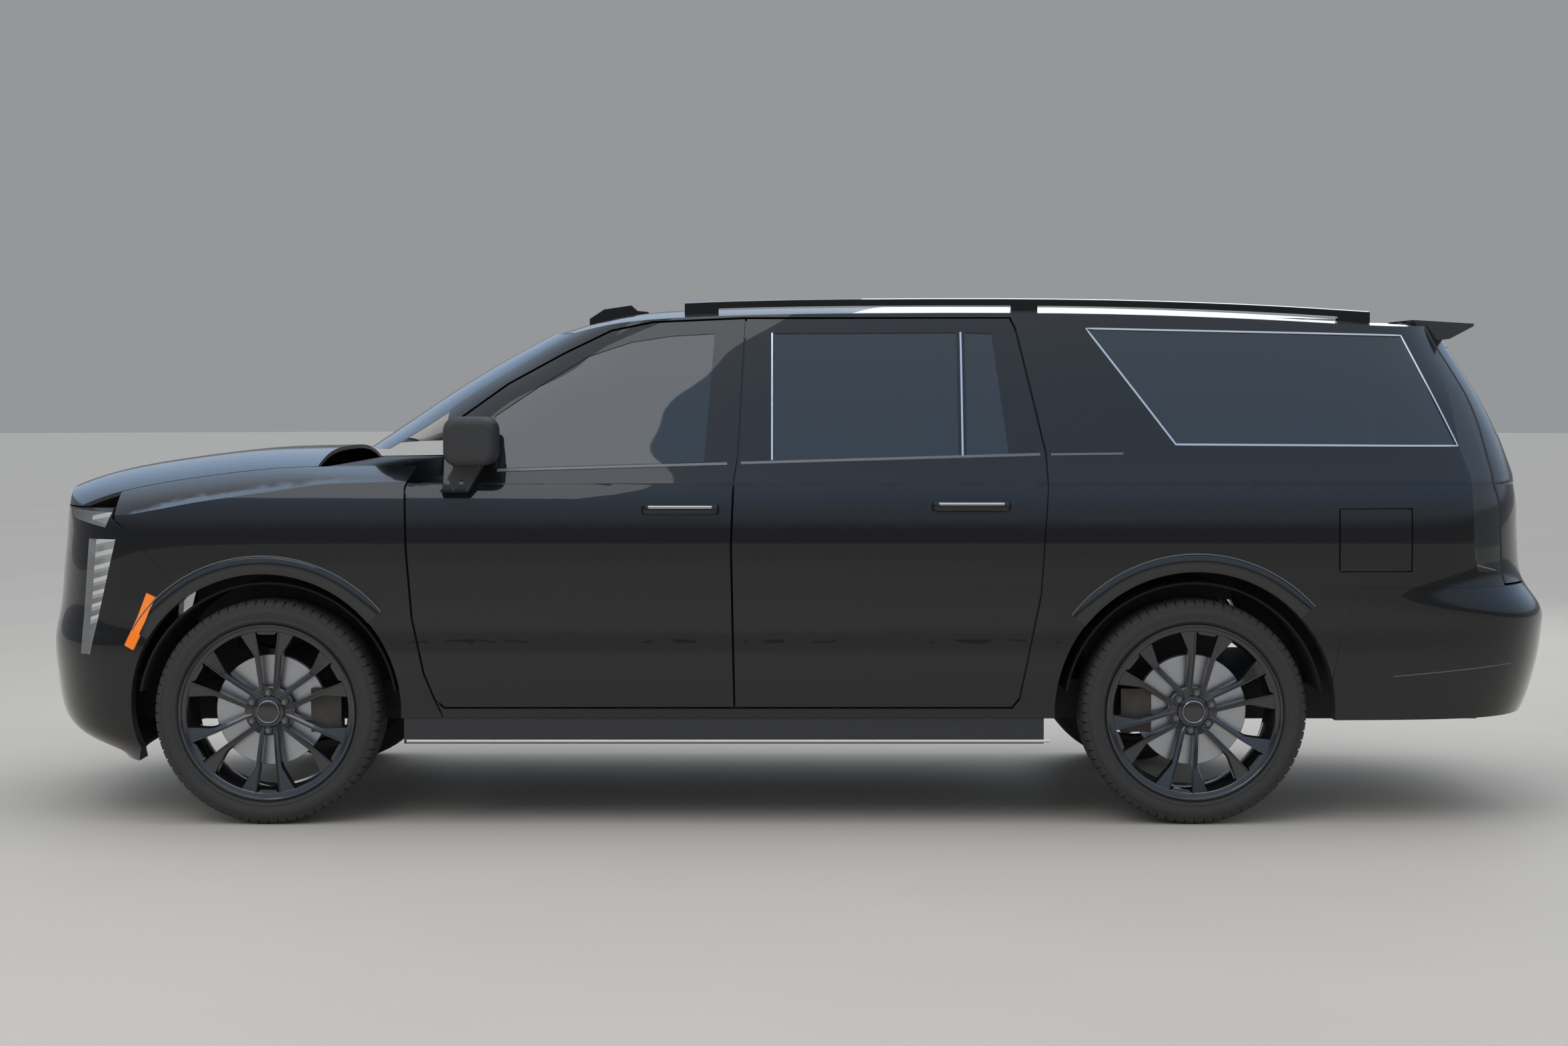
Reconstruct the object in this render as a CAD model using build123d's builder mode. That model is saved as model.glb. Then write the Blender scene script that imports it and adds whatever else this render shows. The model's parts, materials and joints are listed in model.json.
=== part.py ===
from build123d import *
from math import sqrt
import os

os.makedirs("parts", exist_ok=True)

# ---- driving sizes, millimetres: nose at -X, left side at -Y, ground at Z 0 ----
length = 5766
body_width = 2060
wheelbase = 3407
front_axle_x = -1953
rear_axle_x = front_axle_x + wheelbase
track = 1740
tyre_radius = 414
tyre_width = 285
rim_radius = 318
arch_front_radius = 502
arch_rear_radius = 515
belt_z = 1255
roof_top_z = 1927
roof_drop = 83
roof_reach = 1040
rail_height = 43
rail_clearance = 18
door_gap = 8
flange = 15
wall = 90
skin = 20
hood_rear_x = -1790
gate_x = 2245
gate_sill = 880
gate_gap = 12
arm_half = 185
gate_edge = 70
wing_half = 600
mirror_tip = -1186
hinge_pin = 4
hinge_back = 30
hinge_deep = 8
hinge_clear = 46
hinge_heights = (905, 1062)
seat_gap = 0.3
liner_radius = 470
bulkhead_half = 490
boot_half = 640
fender_inner = 812
cowl_half = fender_inner - seat_gap
floor_z = 500

half_width = body_width / 2
nose = length / 2

# height, half width, nose reach, tail reach of the lower body
lower_rows = [
    (205, -60, 2620, 2560), (262, -42, 2716, 2650), (300, -36, 2790, 2720), (367, -28, 2846, 2790),
    (439, -22, 2866, 2826), (531, -11, 2876, 2852), (656, -6, 2883, 2876), (722, -8, 2872, 2883),
    (790, -4, 2858, 2868), (867, -2, 2850, 2812), (950, 0, 2842, 2786), (1045, 0, 2832, 2780),
    (1133, -5, 2826, 2778), (1200, -14, 2815, 2774), (1255, -30, 2790, 2770), (1330, -50, 2740, 2760),
    (1420, -74, 2640, 2750),
]
# height, half width, windscreen reach, tail reach, corner squareness of the cabin
cabin_rows = [
    (1255, 998, 1835, 2768, 20), (1330, 972, 1728, 2750, 15), (1410, 947, 1612, 2722, 12),
    (1500, 919, 1480, 2684, 10), (1600, 887, 1330, 2630, 9), (1700, 851, 1165, 2570, 8),
    (1790, 816, 1000, 2516, 8), (1870, 781, 835, 2478, 8), (1960, 738, 640, 2440, 8),
]


def row_at(rows, z):
    """Smooth value of the second column at a place along a table."""
    z = min(max(z, rows[0][0]), rows[-1][0])
    k = max(i for i, r in enumerate(rows[:-1]) if r[0] <= z)
    p = [rows[min(max(k + i, 0), len(rows) - 1)] for i in (-1, 0, 1, 2)]
    step = p[2][0] - p[1][0]
    u = (z - p[1][0]) / step
    pull = [(p[i + 2][1] - p[i][1]) / (p[i + 2][0] - p[i][0]) * step for i in (0, 1)]
    a, b = p[1][1], p[2][1]
    return (2 * u**3 - 3 * u**2 + 1) * a + (u**3 - 2 * u**2 + u) * pull[0] + (3 * u**2 - 2 * u**3) * b + (
        u**3 - u**2) * pull[1]


def edge_y(x, half, reach, power):
    """Half width at x of a rounded plan outline."""
    return half * max(0.0, 1 - min(1.0, abs(x) / reach) ** power) ** (1 / 3)


def edge_x(y, half, reach, power):
    return reach * max(0.0, 1 - min(1.0, abs(y) / half) ** 3) ** (1 / power)


def ring(half, front, rear, pf, pr):
    """Half of a plan outline from nose to tail on the +Y side."""
    def quarter(reach, power):
        pts = [(reach * (1 - w) ** (1 / power), half * w ** (1 / 3))
               for w in (0, 0.03, 0.17, 0.42, 0.66, 0.83, 0.93, 0.98)]
        last = pts[-1][0]
        return pts + [(last * s, edge_y(last * s, half, reach, power)) for s in (0.75, 0.5, 0.25)]
    return [(-x, y) for x, y in quarter(front, pf)] + [(0, half)] + quarter(rear, pr)[::-1]


def spaced(points):
    """Share of the length of a line reached at each of its points."""
    total = [0]
    for (a, b), (c, d) in zip(points, points[1:]):
        total.append(total[-1] + sqrt((c - a) ** 2 + (d - b) ** 2))
    return [t / total[-1] for t in total]


ring_steps = spaced(ring(1000, 2700, 2700, 12, 13))


def ringed(levels):
    """Solid through plan outlines stacked in height."""
    with BuildPart() as body:
        for z, half, front, rear, pf, pr in levels:
            with BuildSketch(Plane.XY.offset(z)):
                with BuildLine() as half_line:
                    add(Edge.make_spline(ring(half, front, rear, pf, pr), [(0, 1), (0, -1)], parameters=ring_steps))
                    mirror(about=Plane.XZ)
                make_face()
        loft()
    return body.part


def lower(t, top=1255, floor=0):
    rows = [r for r in lower_rows if floor <= r[0] <= top]
    return ringed([(z, half_width + b - t, f - t, r - t, 12, 13) for z, b, f, r in rows])


def cabin(t):
    return ringed([(z, b - t, f - 1.25 * t, r - 1.1 * t, p, 13) for z, b, f, r, p in cabin_rows])


roof_rows = [(-1300, 1640), (-936, 1817), (-760, 1868), (-582, 1900), (-200, 1919), (400, roof_top_z),
             (1100, 1924), (1700, 1905), (2237, 1873), (2800, 1838)]
hood_rows = [(-2950, 1180), (-2813, 1231), (-2748, 1257), (-2632, 1290), (-2440, 1325), (-2119, 1364),
             (-1850, 1374), (-1250, 1380)]


def crowned(rows, drop, power, reach, t=0, depth=700, follow=0):
    """Solid under a crowned surface that runs along the car."""
    first, last = rows[0][0], rows[-1][0]
    grid = []
    for i in range(25):
        x = first + (last - first) * i / 24
        grid.append([])
        for j in range(-8, 9):
            y = j / 8 * reach
            back = follow * (nose - edge_x(min(abs(y), 0.93 * half_width), half_width, nose, 12))
            grid[-1].append(Vector(x, y, row_at(rows, x - back) - drop * (abs(y) / reach) ** power - t))
    with BuildPart() as body:
        extrude(Face.make_surface_from_array_of_points(grid), amount=depth, dir=(0, 0, -1))
    return body.part


def under_roof(t):
    """Solid under the roof's crown, shrunk by t."""
    return crowned(roof_rows, roof_drop, 2.2, roof_reach, t)


def prism(points, y0, y1, grow=0.0):
    """Outline in the side view, drawn through from y0 to y1."""
    with BuildPart() as body:
        with BuildSketch(Plane.XZ.offset(-y0)):
            with BuildLine():
                Polyline(*points, close=True)
            make_face()
            if grow:
                offset(amount=grow, kind=Kind.INTERSECTION)
        extrude(amount=y0 - y1)
    return body.part


def slab(x0, x1, y0, y1, z0, z1):
    with BuildPart() as body:
        with Locations(((x0 + x1) / 2, (y0 + y1) / 2, (z0 + z1) / 2)):
            Box(x1 - x0, y1 - y0, z1 - z0)
    return body.part


def rod(x, y, z, r, h, axis="z"):
    turn = {"x": (0, 90, 0), "y": (90, 0, 0), "z": (0, 0, 0)}[axis]
    with BuildPart() as body:
        with Locations(Location((x, y, z), turn)):
            Cylinder(r, h)
    return body.part


def flipped(solid):
    return mirror(solid, about=Plane.XZ)



def rear_prism(points, x0, x1, grow=0.0):
    """Outline in the front view (y, z), drawn from x0 to x1."""
    with BuildPart() as body:
        with BuildSketch(Plane(origin=(x0, 0, 0), x_dir=(0, 1, 0), z_dir=(1, 0, 0))):
            with BuildLine():
                Polyline(*points, close=True)
            make_face()
            if grow:
                offset(amount=grow, kind=Kind.INTERSECTION)
        extrude(amount=x1 - x0)
    return body.part


def turned(profile, x, y, z):
    """Profile of (distance from axle, y) turned about the axle line through (x, z)."""
    with BuildPart() as body:
        with BuildSketch(Plane(origin=(x, y, z), x_dir=(0, 0, 1), z_dir=(1, 0, 0))):
            with BuildLine():
                Polyline(*[(r, -s) for r, s in profile], close=True)
            make_face()
        revolve(axis=Axis((x, y, z), (0, 1, 0)))
    return body.part


def joined(solids):
    total = solids[0]
    for s in solids[1:]:
        total = total + s
    return total


def save(name, *solids):
    """One file for one piece, holding one or more solids."""
    with BuildPart() as piece:
        for s in solids:
            add(s)
    piece.part.label = name
    export_step(piece.part, f"parts/{name}.step")


glass_face, glass_back = 3, 8
low, high, front, side_form = {}, {}, {}, {}


def lows(t):
    """Lower body shrunk by t."""
    if t not in low:
        low[t] = lower(t)
    return low[t]


def sides(t):
    """Cabin shrunk by t, with no roof."""
    if t not in side_form:
        side_form[t] = cabin(t)
    return side_form[t]


def highs(t):
    """Cabin shrunk by t, under its roof."""
    if t not in high:
        high[t] = sides(t) & under_roof(t)
    return high[t]


def fronts(t):
    """Nose shrunk by t, under its hood."""
    if t not in front:
        front[t] = (lows(t) + lower(t, 1420, belt_z)) & crowned(hood_rows, 134, 3, 1060, t, 1300, 1)
    return front[t]


def panel(tool, t0, t1, form=None):
    """What a tool keeps of the wall between two depths below the skin."""
    if form:
        return (tool & form(t0)) - form(t1)
    box = tool.bounding_box()
    out = []
    if box.min.Z < belt_z:
        out.append((tool & lows(t0)) - lows(t1))
    if box.max.Z > belt_z:
        out.append((tool & highs(t0)) - sides(t1))
    return joined(out)


def stepped(tool, zone, depth, deep=wall):
    """Wall as thick as deep, but only as thick as depth within a zone."""
    box = tool.bounding_box()
    out = []
    if box.min.Z < belt_z:
        out.append((tool & lows(0)) - lows(deep) - (zone & lows(depth)))
    if box.max.Z > belt_z:
        out.append((tool & highs(0)) - sides(deep) - (zone & sides(depth)))
    return joined(out)


def hinged(x, y, heights, solid, door):
    """Hidden hinge: an arm and pin on the body, with its pocket and bores cut in the door."""
    for z in heights:
        arm = slab(x - 4, x + 4, y, y + 50, z - 14, z + 14) + slab(x - 32, x + 4, y + 41, y + 51, z - 14, z + 14)
        solid = solid + (arm + rod(x, y, z, hinge_pin, 80))
        door = door - slab(x - 60, x + 9, y - 4.6, y + 40, z - 20, z + 20) - rod(x, y, z, hinge_pin + 0.06, 84)
    return solid, door


def door_mirror():
    """Mirror housing on its arm, with the glass let into its back."""
    with BuildPart() as body:
        with Locations((-1187, (mirror_tip - 990) / 2, 1412)):
            Box(186, -990 - mirror_tip, 176)
        fillet(body.edges().filter_by(Axis.Y), 48)
        fillet(body.faces().sort_by(Axis.Y)[0].edges(), 30)
    arm = prism([(-1305, 1226), (-1205, 1226), (-1140, 1340), (-1240, 1340)], -1070, -984)
    glass = slab(-1100, -1080, mirror_tip + 22, -1010, 1344, 1484)
    return body.part + arm - glass


# ---- outlines in the side view (x, z) ----
front_door = [(-1298, 437), (-1332, 466), (-1369, 560), (-1411, 761), (-1431, 1018), (-1436, 1240),
              (-1395, 1350), (-1357, 1406), (-1298, 1454), (-1075, 1616), (-868, 1730), (-694, 1814),
              (-540, 1845), (-199, 1860), (-226, 1355), (-243, 1250), (-252, 1035), (-240, 437)]
rear_door = [(-232, 437), (-244, 1035), (-235, 1250), (-218, 1355), (-191, 1860), (783, 1862), (801, 1824),
             (902, 1363), (907, 1250), (893, 1035), (880, 847), (804, 466), (780, 437)]
front_pane = [(-1117, 1311), (-1120, 1501), (-951, 1616), (-779, 1722), (-621, 1774), (-474, 1797),
              (-310, 1806), (-346, 1333)]
rear_pane = [(-93, 1337), (-93, 1806), (587, 1810), (587, 1355)]
rear_vent = [(616, 1357), (616, 1810), (717, 1806), (772, 1362)]
quarter_pane = [(1385, 1397), (1068, 1825), (2253, 1800), (2438, 1391)]
fender_line = [(-1444, 1240), (-1439, 1018), (-1419, 761), (-1377, 560), (-1340, 466), (-1306, 395),
               (-1560, 395), (-2250, 825), (-2276, 871), (-2465, 1079), (-2520, 1120), (-2520, 1500),
               (-1385, 1500), (-1388, 1380), (-1403, 1350)]
side_line = [(-1490, 395), (-1490, 1300), (-1640, 1300), (-1640, 2000), (2460, 2000), (2900, 1500),
             (2900, 872), (2040, 872), (1985, 700), (1930, 395)]
fender_zone = [(-1302, 390), (-1420, 760), (-1430, 1240), (-1388, 1360), (-1380, 1420), (-1600, 1420), (-1600, 390)]
fuel_door = [(1978, 937), (1978, 1160), (2241, 1160), (2241, 937)]
gate_half = [(560, 1960), (640, 1780), (700, 1577), (780, 1400), (838, 1250), (850, gate_sill)]
gate_line = [(-y, z) for y, z in gate_half] + gate_half[::-1]
gate_pane = [(-560, 1760), (-650, 1430), (650, 1430), (560, 1760)]
screen_line = [(-828, 1378), (-700, 1808), (700, 1808), (828, 1378)]

far, near = -1200, -400
roof_split = 1868
front_arch = rod(-1960, 0, 425, arch_front_radius, 2400, "y")
rear_arch = rod(rear_axle_x, 0, 420, arch_rear_radius, 2400, "y")

# ---- body side, doors and their glass, left hand first ----
openings_out = [prism(p, far, near, grow=door_gap) for p in (front_door, rear_door)]
openings_in = [prism(p, far, near, grow=-12) for p in (front_door, rear_door)]
lid_hole = prism(fuel_door, far, near, grow=5)
lid_well = slab(1990, 2230, -1020, -965, 950, 1148)
side_box = slab(-3000, 3000, far, near, 0, roof_split)
gate_zone = rear_prism(gate_line, gate_x - door_gap, 3000, grow=gate_gap)
whole = (side_box & prism(side_line, far, near)) - openings_in[0] - openings_in[1] - front_arch - rear_arch
whole = whole - prism(quarter_pane, far, near, grow=seat_gap) - gate_zone
whole = whole - rear_prism(screen_line, -2200, -600, grow=seat_gap) - slab(-960, -600, -700, 0, 1790, 1900)
side = panel(whole, 0, wall)
rebate = openings_out[0] + openings_out[1]
side = side - (rebate - lows(skin) - sides(skin))
side = side - panel(prism(fender_zone, far, near), -seat_gap, flange, fronts)
lamp_line = [(2398, 1780), (2900, 1780), (2900, 900), (2505, 928), (2490, 980), (2481, 1277), (2446, 1381)]
lamp_side = panel(prism(lamp_line, far, near) - gate_zone, 0, 45)
side = side - panel(prism(lamp_line, far, near, grow=0.3), -1, 45.3)
hinge_y = -half_width + hinge_deep
hinge_x = {"front": -1436 + hinge_back, "rear": -244 + hinge_back}
for x in hinge_x.values():
    side = side - rod(x, hinge_y, 855, hinge_clear, 850)
save("tail_lamps", lamp_side, flipped(lamp_side))
for name, line, panes in (("front", front_door, [front_pane]), ("rear", rear_door, [rear_pane, rear_vent])):
    whole = prism(line, far, near)
    rim_zone = slab(-1500, 1000, far - 10, near + 10, 400, 1900) - prism(line, far - 20, near + 20, grow=-40)
    glass = []
    for p in panes:
        whole = whole - prism(p, far, near)
        glass.append(panel(prism(p, far, near, grow=-seat_gap), glass_face, glass_back, sides))
    door = stepped(whole, rim_zone, flange)
    side, door = hinged(hinge_x[name], hinge_y, hinge_heights, side, door)
    if name == "front":
        door = door + door_mirror()
    save(f"door_{name}_left", door)
    save(f"door_{name}_right", flipped(door))
    save(f"glass_{name}_left", *glass)
    save(f"glass_{name}_right", *[flipped(g) for g in glass])
save("body_side_right", flipped(side))
side = side - lid_well - (lid_hole - lows(skin)) + (rod(2110, -985, 1048, 8, 86, "y") & lows(6.3))
save("body_side_left", side)
quarter = panel(prism(quarter_pane, far, near), glass_face, glass_back, sides)
save("quarter_glass", quarter, flipped(quarter))
lid = panel(prism(fuel_door, far, near), 0, 6, lows)
save("fuel_door", lid)

# ---- roof, windscreen, liftgate ----
roof = panel(slab(-940, gate_x - door_gap, -1000, 1000, roof_split, 2000), 0, wall, highs)
roof = roof + panel(slab(-960, -600, -699.7, 699.7, 1811, roof_split), 0, wall, highs)
save("roof_panel", roof)
screen = panel(rear_prism(screen_line, -2200, -600), glass_face, glass_back, sides)
save("windshield", screen)
gate_rim = slab(gate_x - 10, 3010, -1000, 1000, gate_sill - 10, 2010)
gate_rim = gate_rim - rear_prism(gate_line, gate_x - 20, 3020, grow=-gate_edge)
gate = stepped(rear_prism(gate_line, gate_x, 3000), gate_rim, flange)
with BuildPart() as wing:
    with BuildSketch(Plane.XZ.offset(-wing_half)):
        with BuildLine():
            Polyline((2330, 1862), (2562, 1848), (2560, 1838), (2470, 1790), (2380, 1780), close=True)
        make_face()
    extrude(amount=2 * wing_half)
gate = gate + wing.part - rear_prism(gate_pane, 2200, 3000)
save("liftgate", gate)
gate_glass = panel(rear_prism(gate_pane, 2200, 3000, grow=-seat_gap), glass_face, glass_back, sides)
save("liftgate_glass", gate_glass)

# ---- nose ----
fender_tool = (prism(fender_line, far, near) & slab(-2600, -1300, far, -fender_inner, 300, 1420)) - front_arch
fender = panel(fender_tool, 0, flange - seat_gap, fronts)
gutter = panel(slab(-2450, -1850, -832, -770, 1000, 1420), flange + seat_gap, 26, fronts)
fender = fender + gutter + panel(slab(-2450, -1850, -832, -814, 1000, 1420), 8, 26, fronts)
hood = panel(slab(-2900, hood_rear_x, -806, 806, 1165, 1420), 0, flange, fronts)
fascia_line = [(-2900, 200), (-2480, 200), (-2300, 500), (-2251, 825), (-2277, 871), (-2466, 1079), (-2530, 1120),
               (-2530, 1159), (-2900, 1159)]
bumper = panel(prism(fascia_line, far, -far) - front_arch, 0, 60, fronts)
mouth = slab(-2950, -2600, -560, 560, 640, 1105)
lamp_v = [(-2632, 1047), (-2516, 1047), (-2625, 620), (-2665, 620)]
lamp_h = [(-2763, 1157), (-2532, 1146), (-2560, 1090), (-2700, 1118)]
front_lamps = []
for line in (lamp_v, lamp_h):
    solid = panel(prism(line, far, -700), 0, 60, fronts)
    front_lamps += [solid, flipped(solid)]
    cut = prism(line, far, -700, grow=0.3)
    bumper = bumper - cut - flipped(cut)
bumper = bumper - mouth
save("front_fenders", fender, flipped(fender))
save("hood", hood)
save("front_fascia", bumper)
save("headlamps", *front_lamps)
bars = [slab(-2950, -2600, -559.7, -520, 640.3, 1104.7), slab(-2950, -2600, 520, 559.7, 640.3, 1104.7)]
bars += [slab(-2950, -2600, -530, 530, z, z + 22) for z in range(641, 1100, 52)]
grille = panel(joined(bars), flange, 60, fronts)
save("grille", grille)

# ---- tail ----
bumper_line = [(1930.8, 386), (1985.8, 700), (2040.6, 871.2), (2900, 871.2), (2900, 386)]
rear_bumper = panel(prism(bumper_line, far, -far) - rear_arch, 0, wall, lows)
for y in (-560, 560):
    rear_bumper = rear_bumper + rod(2740, y, gate_sill - seat_gap - 7, 20, 14)
save("rear_bumper", rear_bumper)

# ---- underside ----
rails = [slab(-2700, 2620, y - 40, y + 40, 330, 480) for y in (-440, 440)]
rails += [slab(x - 40, x + 40, -410, 410, 350, 460) for x in (-2600, -2000, -1500, -400, 700, 1900, 2560)]
save("frame", joined(rails))
floor = slab(-1400, 900, -915, 915, floor_z - skin, floor_z)
floor = floor + slab(900, 2600, -boot_half, boot_half, floor_z - skin, floor_z)
save("floor_pan", floor)
save("running_boards", *[slab(-1449, 900, s * 940 - 60, s * 940 + 60, 300, 395) for s in (-1, 1)])
save("engine", slab(-2350, -1650, -300, 300, 460, 1050))
cowl = slab(-1538, -1520, -bulkhead_half, bulkhead_half, 480, 1300)
cowl = cowl + slab(-1538, -1520, -cowl_half, cowl_half, 905, 1300)
cowl = cowl + slab(-1770, -1520, -cowl_half, cowl_half, 1290, 1310)
save("cowl", cowl)
save("fuel_tank", slab(-300, 600, -380, -80, 300, 480))
save("exhaust", rod(700, 250, 314.7, 35, 3000, "x"))
rails = []
for y in (-650, 650):
    bar = slab(-428, 2152, y - 19, y + 19, 1700, 2000) & under_roof(-rail_height)
    gap = slab(-300, 800, y - 30, y + 30, 1700, 2000) + slab(900, 2030, y - 30, y + 30, 1700, 2000)
    bar = bar - under_roof(-seat_gap) - (gap & under_roof(-rail_clearance))
    rails.append(bar)
with BuildPart() as fin:
    with BuildSketch(Plane.XZ.offset(-26)):
        with BuildLine():
            Polyline((-831, 1830), (-831, 1880), (-773, 1918), (-664, 1934), (-640, 1912), (-596, 1908), (-596, 1830),
                     close=True)
        make_face()
    extrude(amount=52)
save("roof_fittings", *rails, fin.part - under_roof(-seat_gap))


def seat(x, y, wide):
    base = slab(x - 250, x + 250, y - wide, y + wide, 500, 860)
    back = slab(x + 200, x + 300, y - wide, y + wide, 800, 1420)
    head = slab(x + 220, x + 300, y - 130, y + 130, 1420, 1600)
    return base + back + head


save("seats", seat(-650, -430, 270), seat(-650, 430, 270), seat(350, -430, 270), seat(350, 430, 270),
     seat(1350, 0, 600))
dash = slab(-1520, -1130, -860, 860, 900, 1230)
wheel_post = rod(-1050, -430, 1080, 20, 240, "x") + rod(-940, -430, 1080, 190, 30, "x")
save("dashboard", dash + wheel_post)

# ---- arch liners ----
liners = []
for x, inside in ((front_axle_x, bulkhead_half), (rear_axle_x, boot_half)):
    radius, inside = liner_radius, inside + seat_gap
    tube = rod(x, -(970 + inside) / 2, 414, radius + 8, 970 - inside, "y")
    tube = tube - rod(x, -(970 + inside) / 2, 414, radius, 970 - inside, "y")
    liner = tube & slab(x - 600, x + 600, -1100, 0, floor_z - 10, 1100)
    liners += [liner, flipped(liner)]
save("arch_liners", *liners)

# ---- wheels, hubs and suspension ----
bead_radius = rim_radius + seat_gap
tyre_profile = [(bead_radius, -122), (368, -tyre_width / 2), (tyre_radius, -108), (tyre_radius, 108),
                (368, tyre_width / 2), (bead_radius, 122)]
barrel = [(rim_radius, -130), (rim_radius, 130), (300, 130), (292, 100), (292, -100), (300, -130)]
hub_shell = [(30.4, -105), (85, -105), (85, -58), (30.4, -58)]
brake = [(30.4, -58), (85, -58), (85, -25), (205, -25), (205, 5), (60, 5), (60, -25), (30.4, -25)]
king_y = -820
for axle, x in (("front", front_axle_x), ("rear", rear_axle_x)):
    y = -track / 2
    tyre = turned(tyre_profile, x, y, tyre_radius)
    rim = turned(barrel, x, y, tyre_radius) + turned(hub_shell, x, y, tyre_radius)
    rim = rim + turned(brake, x, y, tyre_radius)
    spoke = slab(x - 14, x + 14, y - 100, y - 62, tyre_radius + 70, tyre_radius + 300)
    for k in range(12):
        rim = rim + spoke.rotate(Axis((x, y, tyre_radius), (0, 1, 0)), 30 * k + 15)
    save(f"tyre_{axle}_left", tyre)
    save(f"tyre_{axle}_right", flipped(tyre))
    save(f"rim_{axle}_left", rim)
    save(f"rim_{axle}_right", flipped(rim))
x, z = front_axle_x, tyre_radius
upright = slab(x - 45, x + 45, king_y - 30, king_y + 30, z - 150, z + 190)
spindle = rod(x, (-940 + king_y) / 2, z, 30, king_y + 940, "y")
grip = slab(x + 150, x + 262, -925, -845, z - 80, z + 80) - rod(x, -880, z, 212, 46, "y")
grip = grip + slab(x + 40, x + 200, -860, king_y + 20, z - 50, z + 50) - turned(brake, x, -track / 2, z)
knuckle = upright + spindle + grip - rod(x, -880, z, 212, 38, "y")
knuckle = knuckle + rod(x, -880, z, 30, 100, "y")
save("knuckle_left", knuckle)
save("knuckle_right", flipped(knuckle))
arms = []
for end in (-arm_half, arm_half):
    for y0, y1, za in ((-470, king_y, z - 168), (-470, king_y, z + 208)):
        with BuildPart() as link:
            with BuildSketch(Plane.XY.offset(za - 14)):
                with BuildLine():
                    Polyline((x + end - 30, y0), (x + end + 30, y0), (x + 20, y1), (x - 20, y1), close=True)
                make_face()
            extrude(amount=28)
        arms.append(link.part)
low_arm = arms[0] + arms[2] + rod(x, king_y, z - 166, 36, 31.4)
high_arm = arms[1] + arms[3] + rod(x, king_y, z + 206, 30, 31.4)
tower = slab(x - 260, x + 260, -480, -400, 480, 650)
rear = rear_axle_x
carrier = slab(rear - 45, rear + 45, -800, -740, z - 150, z + 150) + rod(rear, -870, z, 30, 140, "y")
rear_grip = slab(rear - 262, rear - 150, -925, -845, z - 80, z + 80) - rod(rear, -880, z, 212, 46, "y")
rear_grip = rear_grip + slab(rear - 200, rear - 40, -860, -750, z - 50, z + 50)
carrier = carrier + rear_grip - turned(brake, rear, -track / 2, z) - rod(rear, -880, z, 212, 38, "y")
carrier = carrier + rod(rear, -870, z, 30, 140, "y") + slab(rear - 30, rear + 30, -760, -480, 340, 380)
save("suspension", low_arm + tower + high_arm, flipped(low_arm + tower + high_arm), carrier, flipped(carrier))
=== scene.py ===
"""Looks of a full-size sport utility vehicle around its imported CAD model, laid out as a Blender add-on."""

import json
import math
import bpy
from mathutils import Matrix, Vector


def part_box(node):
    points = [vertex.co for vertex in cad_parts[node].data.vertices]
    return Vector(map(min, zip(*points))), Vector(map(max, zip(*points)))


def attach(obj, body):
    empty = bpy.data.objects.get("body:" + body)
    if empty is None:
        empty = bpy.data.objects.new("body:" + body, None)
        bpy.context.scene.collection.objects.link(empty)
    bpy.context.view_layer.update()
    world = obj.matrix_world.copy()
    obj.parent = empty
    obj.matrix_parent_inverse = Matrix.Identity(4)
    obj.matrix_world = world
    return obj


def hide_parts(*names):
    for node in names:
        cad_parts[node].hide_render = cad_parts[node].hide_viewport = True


bl_info = {
    "name": "Sport utility vehicle looks",
    "version": (1, 0, 0),
    "blender": (4, 5, 0),
    "location": "View3D > Sidebar > Vehicle",
    "description": "Paint, glass, lamps, wheels and trim of a sport utility vehicle",
    "category": "Object",
}

import bmesh
import bpy
import numpy as np
from mathutils import Vector

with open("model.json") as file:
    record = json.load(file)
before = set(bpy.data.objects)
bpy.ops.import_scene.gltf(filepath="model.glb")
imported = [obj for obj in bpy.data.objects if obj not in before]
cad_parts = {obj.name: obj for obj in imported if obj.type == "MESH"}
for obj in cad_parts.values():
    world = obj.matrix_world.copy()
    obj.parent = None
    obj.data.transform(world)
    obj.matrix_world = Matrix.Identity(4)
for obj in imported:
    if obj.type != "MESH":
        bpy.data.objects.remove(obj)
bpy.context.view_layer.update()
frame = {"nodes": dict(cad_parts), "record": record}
SIDES = {"left": -1, "right": 1}
materials = {}


# ---------------------------------------------------------------- shader maths
class Value:
    """A node socket that works like a number in Python expressions."""

    def __init__(self, surface, socket):
        self.surface, self.socket = surface, socket

    def maths(self, operation, *values):
        return self.surface.node("Math", {"operation": operation}, list(values))

    def __mul__(self, o):
        return self.maths("MULTIPLY", self, o)

    __rmul__ = __mul__


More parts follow.
